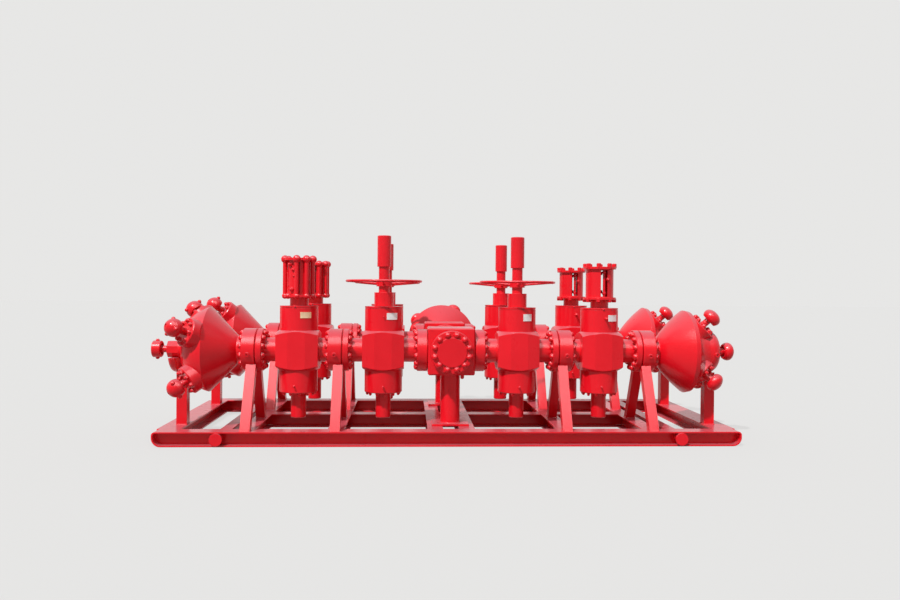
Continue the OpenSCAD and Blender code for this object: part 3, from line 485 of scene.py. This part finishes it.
def bentPlate(mesh, x, y, radius, first, last, low, high, s):
    start, end = math.asin(first / radius), math.asin(last / radius)
    rimSwing = s["rim"] / radius
    field = end - start - 2 * rimSwing
    swings = [start, start + rimSwing]
    swings += [start + rimSwing + field * i / s["columns"] for i in range(s["columns"] + 1)]
    swings += [end - rimSwing, end]
    rimTop, slope = s["thick"] + s["rimRise"], s["rim"] * s["rimSlope"]
    sections = []
    for i, swing in enumerate(swings):
        top = s["thick"] if 2 <= i <= len(swings) - 3 else rimTop  # sunk between the two rim columns
        heights = ((low, 0.0), (low, rimTop), (low + s["rim"], rimTop), (low + slope, top), (high - slope, top),
                   (high - s["rim"], rimTop), (high, rimTop), (high, 0.0))
        sections.append([Vector((x + (radius + h) * math.sin(swing), y - (radius + h) * math.cos(swing), z))
                         for z, h in heights])
    loft(mesh, sections)
    inset = s["rim"] * s["rivetInset"]
    rivet = domeRings(s["rivetRadius"], 0, s["rivetRadius"] * s["rivetRise"], s["rivetSides"], s["rivetSteps"])
    for swing in (start + inset / radius, end - inset / radius):
        for z in (low + inset, high - inset):
            outward = Vector((math.sin(swing), -math.cos(swing), 0))
            spot = Vector((x, y, z)) + outward * (radius + s["thick"] * s["rivetSink"])
            loft(mesh, rivet, aim(spot, outward))


for label, x, first, last, low, high, slot in plateTrim["plates"]:
    mesh = bmesh.new()
    bentPlate(mesh, x, -lineY, bonnetTrim["radius"], first, last, low, high, plateTrim)
    makePiece(f"plate_{label}", mesh, [plateMaterial[slot]])
print("bare plates set")


# drains under the cross blocks

drainTrim = {"radius": 0.019, "length": 0.052, "offsetX": 0.116, "offsetY": -0.080, "collarRadius": 0.026,
             "collarHeight": 0.010, "collarBevel": (0.92, 0.8), "sides": 20, "domeSteps": 6}


def drainStud(mesh, place, s):
    inset, lift = s["collarBevel"]
    wide, tall = s["collarRadius"], s["collarHeight"]
    collar = turned([(wide, 0), (wide, tall * lift), (wide * inset, tall), (s["radius"], tall)], s["sides"])
    tip = domeRings(s["radius"], s["length"] - s["radius"], s["radius"], s["sides"], s["domeSteps"])
    loft(mesh, collar + tip, place)


mesh = bmesh.new()
for line in lines:
    spot = (drainTrim["offsetX"], line * lineY + drainTrim["offsetY"], lineZ - blockHalf)
    drainStud(mesh, aim(spot, -upward), drainTrim)
makePiece("block_drains", mesh)
print("drains set")


# actuator fittings: capped unions on the tie rod tubes, a knob on each lantern

tubeTrim = {
    "tubeRadius": 0.112, "lanternRadius": 0.139, "sink": 0.004, "proud": 1.35, "collar": 1.12, "hex": 0.88,
    "cap": 0.62, "capRise": 0.45, "shoulder": 0.95, "sides": 20, "domeSteps": 4,
    "steps": (0.22, 0.30, 0.66, 0.72),  # collar, hexagon's foot, its top and the cap's foot, as shares of the reach
    # offset from the axis, height, radius
    "fittings": ((-0.074, 1.723, 0.0205), (-0.047, 1.672, 0.014), (-0.040, 1.610, 0.010), (-0.058, 1.477, 0.0205)),
    "knob": (0.052, 1.604, 0.014),
}


def tubeFitting(mesh, place, radius, s):
    flat = radius * s["hex"]
    reach = radius * s["proud"]
    collarTop, hexFoot, hexTop, capFoot = [reach * share for share in s["steps"]]
    wide = radius * s["collar"]
    loft(mesh, turned([(wide, -s["sink"]), (wide, collarTop), (radius, hexFoot)], s["sides"]), place)
    shoulder = ringPoints(flat * s["shoulder"], capFoot, hexSides)
    cap = domeRings(radius * s["cap"], capFoot, reach * s["capRise"], hexSides, s["domeSteps"])
    loft(mesh, hexRings(flat * 2, (hexFoot, hexTop)) + [shoulder] + cap, place)


for line in lines:
    mesh = bmesh.new()
    for offset, z, radius in tubeTrim["fittings"]:
        depth = math.sqrt(tubeTrim["tubeRadius"] ** 2 - offset ** 2)
        outward = Vector((offset, line * depth, 0))
        spot = Vector((-hydraulicX, line * lineY, z)) + outward
        tubeFitting(mesh, aim(spot, outward), radius, tubeTrim)
    makePiece(f"tube_fittings_{lineName[line]}", mesh)
    mesh = bmesh.new()
    offset, z, radius = tubeTrim["knob"]
    tubeFitting(mesh, onRound(hydraulicX, line * lineY, tubeTrim["lanternRadius"], offset, z), radius, tubeTrim)
    makePiece(f"lantern_knob_{lineName[line]}", mesh)

# guide rod in front of the stem in each lantern, from plate to plate
guideRod = {"offset": 0.025, "behind": -0.090, "radius": 0.0135, "length": 0.283, "collarRadius": 0.021,
            "collarHeight": 0.026, "collarBevel": 0.15, "collarShares": (0.10, 0.84), "sides": 20}
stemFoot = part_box("actuator_stems")[0].z
rodRadius, rodCollar = guideRod["radius"], guideRod["collarRadius"]
rodProfile = [(rodRadius, 0)]
for share in guideRod["collarShares"]:
    low = share * guideRod["length"]
    high = low + guideRod["collarHeight"]
    bevel = guideRod["collarHeight"] * guideRod["collarBevel"]
    rodProfile += [(rodRadius, low), (rodCollar - bevel, low), (rodCollar, low + bevel),
                   (rodCollar, high - bevel), (rodCollar - bevel, high), (rodRadius, high)]
rodProfile.append((rodRadius, guideRod["length"]))
for line in lines:
    mesh = bmesh.new()
    foot = (hydraulicX + guideRod["offset"], line * lineY + guideRod["behind"], stemFoot)
    loft(mesh, turned(rodProfile, guideRod["sides"]), Matrix.Translation(foot))
    makePiece(f"lantern_guide_rod_{lineName[line]}", mesh)
print("actuator fittings set")


# weld beads round the feet of legs, posts and pedestals

weldTrim = {"bead": 0.007, "pitch": 0.009, "ripple": 0.16, "sides": 8, "legWidth": 0.094, "legDepth": 0.090,
            "legReach": 0.413, "legOffset": 0.040, "postWidth": 0.102, "postOffset": 0.730,
            "pedestalRadius": 0.098, "footThick": 0.020}


def weldLoop(mesh, corners, s, curved=False):
    points = []
    for start, end in zip(corners, corners[1:] + corners[:1]):
        steps = 1 if curved else max(2, round((end - start).length / s["pitch"]))
        points += [start.lerp(end, i / steps) for i in range(steps)]
    count = len(points)
    swings = [math.tau * k / s["sides"] for k in range(s["sides"])]
    rows = []
    for i, point in enumerate(points):
        ahead = (points[(i + 1) % count] - points[i - 1]).normalized()
        across = Vector((ahead.y, -ahead.x, 0))
        size = s["bead"] * (1.0 + s["ripple"] * (1 if i % 2 else -1))
        rows.append([mesh.verts.new(point + across * size * math.cos(swing) + upward * size * math.sin(swing))
                     for swing in swings])
    for low, high in zip(rows, rows[1:] + rows[:1]):
        for k in range(s["sides"]):
            after = (k + 1) % s["sides"]
            mesh.faces.new((low[k], low[after], high[after], high[k])).smooth = True


def rectangleAt(x, y, z, width, depth):
    return [Vector((x + width / 2 * i, y + depth / 2 * j, z)) for i, j in ((-1, -1), (1, -1), (1, 1), (-1, 1))]


for side in sides:
    mesh = bmesh.new()
    for line in lines:
        for seam in (outerSeam, middleSeam):
            for way in (-1, 1):
                x, y = side * (seam + weldTrim["legOffset"]), line * lineY + way * weldTrim["legReach"]
                weldLoop(mesh, rectangleAt(x, y, beamTop, weldTrim["legWidth"], weldTrim["legDepth"]), weldTrim)
        post = side * (outerSeam + weldTrim["postOffset"])
        weldLoop(mesh, rectangleAt(post, line * lineY, beamTop, weldTrim["postWidth"], weldTrim["postWidth"]),
                 weldTrim)
    makePiece(f"foot_welds_{sideName[side]}", mesh, edge="weld")
mesh = bmesh.new()
ringCount = 2 * round(math.pi * weldTrim["pedestalRadius"] / weldTrim["pitch"])
for line in lines:
    for z in (beamTop + weldTrim["footThick"], lineZ - blockHalf):
        loop = [p + Vector((0, line * lineY, 0)) for p in ringPoints(weldTrim["pedestalRadius"], z, ringCount)]
        weldLoop(mesh, loop, weldTrim, curved=True)
makePiece("pedestal_welds", mesh, edge="weld")
print("foot welds set")


# weld collars where the spokes meet hub and rim

wheelTrim = {"hubRadius": 0.076, "rimInset": 0.025, "spokeRadius": 0.011, "spokes": 4, "sides": 16,
             "hubLift": 0.028, "rimLift": 0.0535, "length": 0.007,
             # radius as a share of the spoke's, and place as a share of the length
             "collar": ((1.305, -0.5), (1.45, 0.0), (1.276, 0.6), (1.02, 1.0))}


def spokeCollar(mesh, place, s):
    loft(mesh, turned([(s["spokeRadius"] * share, s["length"] * part) for share, part in s["collar"]], s["sides"]),
         place)


for wheel in [name for name in cadNodes if name.endswith("handwheel")]:
    low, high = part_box(wheel)
    foot = Vector(((low.x + high.x) / 2, (low.y + high.y) / 2, low.z))
    outer = (high.x - low.x) / 2 - wheelTrim["rimInset"]
    mesh = bmesh.new()
    for i in range(wheelTrim["spokes"]):
        swing = math.tau * i / wheelTrim["spokes"]
        heading = Vector((math.cos(swing), math.sin(swing), 0))
        hubEnd = foot + upward * wheelTrim["hubLift"] + heading * wheelTrim["hubRadius"]
        rimEnd = foot + upward * wheelTrim["rimLift"] + heading * outer
        spoke = (rimEnd - hubEnd).normalized()
        spokeCollar(mesh, aim(hubEnd, spoke), wheelTrim)
        spokeCollar(mesh, aim(rimEnd, -spoke), wheelTrim)
    makePiece(f"spoke_welds_{wheel}", mesh, body=wheel)
print("wheel welds set")


# stage: a pale floor that keeps a faint shadow

stageLook = {"tone": (0.800, 0.797, 0.788), "bounce": (0.22, 0.21, 0.205), "lit": (0.466, 0.464, 0.459),
             "shadowShare": 0.20, "floorHalf": 90.0, "floorDrop": 0.001}


def floorFinish(s):
    finish = bpy.data.materials.new("paleFloor")
    finish.use_nodes = True
    tree = finish.node_tree
    tree.nodes.clear()
    seen = raysThatSee(tree)
    matte = tree.nodes.new("ShaderNodeBsdfDiffuse")
    tree.links.new(mixColours(tree, seen, s["bounce"], s["lit"]), matte.inputs["Color"])
    plain = tree.nodes.new("ShaderNodeEmission")
    feed(tree, plain.inputs["Color"], s["tone"])
    mix = tree.nodes.new("ShaderNodeMixShader")
    tree.links.new(rampNode(tree, seen, (0.0, 1.0), (0.0, 1.0 - s["shadowShare"])), mix.inputs[0])
    tree.links.new(matte.outputs[0], mix.inputs[1])
    tree.links.new(plain.outputs[0], mix.inputs[2])
    tree.links.new(mix.outputs[0], tree.nodes.new("ShaderNodeOutputMaterial").inputs["Surface"])
    return finish


floorMesh = bpy.data.meshes.new("floor")
half = stageLook["floorHalf"]
floorMesh.from_pydata(rectangleAt(0, 0, 0, 2 * half, 2 * half), [], [(0, 1, 2, 3)])
floor = bpy.data.objects.new("floor", floorMesh)
floor.data.materials.append(floorFinish(stageLook))
floor.location.z = -stageLook["floorDrop"]
bpy.context.scene.collection.objects.link(floor)

# room light, brighter above and behind the object
roomLight = {"towards": (0.0, 0.55, 0.84), "lean": (-0.55, 0.95), "glow": (0.18, 0.95), "tint": (1.0, 1.0, 1.0)}


def paleWorld(stageSet, s):
    world = bpy.data.worlds.new("paleRoom")
    bpy.context.scene.world = world
    world.use_nodes = True
    tree = world.node_tree
    tree.nodes.clear()
    seen = raysThatSee(tree)
    lean = dotNode(tree, tree.nodes.new("ShaderNodeTexCoord").outputs["Generated"], s["towards"])
    glow = rampNode(tree, lean, s["lean"], s["glow"])
    background = tree.nodes.new("ShaderNodeBackground")
    tree.links.new(mixColours(tree, seen, s["tint"], stageSet["tone"]), background.inputs["Color"])
    strength = tree.nodes.new("ShaderNodeMix")
    tree.links.new(seen, strength.inputs["Factor"])
    tree.links.new(glow, strength.inputs["A"])
    strength.inputs["B"].default_value = 1.0
    tree.links.new(strength.outputs["Result"], background.inputs["Strength"])
    tree.links.new(background.outputs[0], tree.nodes.new("ShaderNodeOutputWorld").inputs["Surface"])


paleWorld(stageLook, roomLight)


def hangLamp(lamp, s):
    lampObject = bpy.data.objects.new(lamp.name, lamp)
    lampObject.matrix_world = aim(s["place"], s["from"])
    bpy.context.scene.collection.objects.link(lampObject)
    return lampObject


keyLight = {"place": (-4.0, -5.0, 11.0), "from": (-0.75, -1.00, 1.55), "strength": 3.65, "softness": 1.5}
sun = bpy.data.lights.new("keyLight", "SUN")
sun.energy = keyLight["strength"]
sun.angle = math.radians(keyLight["softness"])
hangLamp(sun, keyLight)

# soft box overhead, seen in the gloss alone, so the paint keeps its level
softBox = {"place": (-0.3, -4.1, 5.65), "from": (0.0, -0.57, 0.82), "length": 9.0, "width": 4.2, "glow": 5.0,
           "wattsPerGlow": 4.0}
box = bpy.data.lights.new("softBox", "AREA")
box.shape = "RECTANGLE"
box.size, box.size_y = softBox["length"], softBox["width"]
box.energy = softBox["glow"] * softBox["wattsPerGlow"] * softBox["length"] * softBox["width"]
boxObject = hangLamp(box, softBox)
boxObject.visible_diffuse = False
boxObject.visible_camera = False

cameraLay = {"place": (-0.4374, -8.5795, 1.4666), "yaw": 0.05434, "pitch": 0.01036, "roll": 0.00878,
             "focalPixels": 786.4, "imageWidth": 900.0, "sensor": 36.0}
camera = bpy.data.cameras.new("camera")
camera.sensor_width = cameraLay["sensor"]
camera.lens = cameraLay["focalPixels"] * cameraLay["sensor"] / cameraLay["imageWidth"]
cameraObject = bpy.data.objects.new("camera", camera)
level = Euler((math.pi / 2 - cameraLay["pitch"], 0, -cameraLay["yaw"])).to_matrix().to_4x4()
cameraObject.matrix_world = (Matrix.Translation(cameraLay["place"]) @ level
                             @ Matrix.Rotation(cameraLay["roll"], 4, "Z"))
bpy.context.scene.collection.objects.link(cameraObject)
bpy.context.scene.camera = cameraObject
bpy.context.scene.view_settings.view_transform = "Standard"
print("stage set")
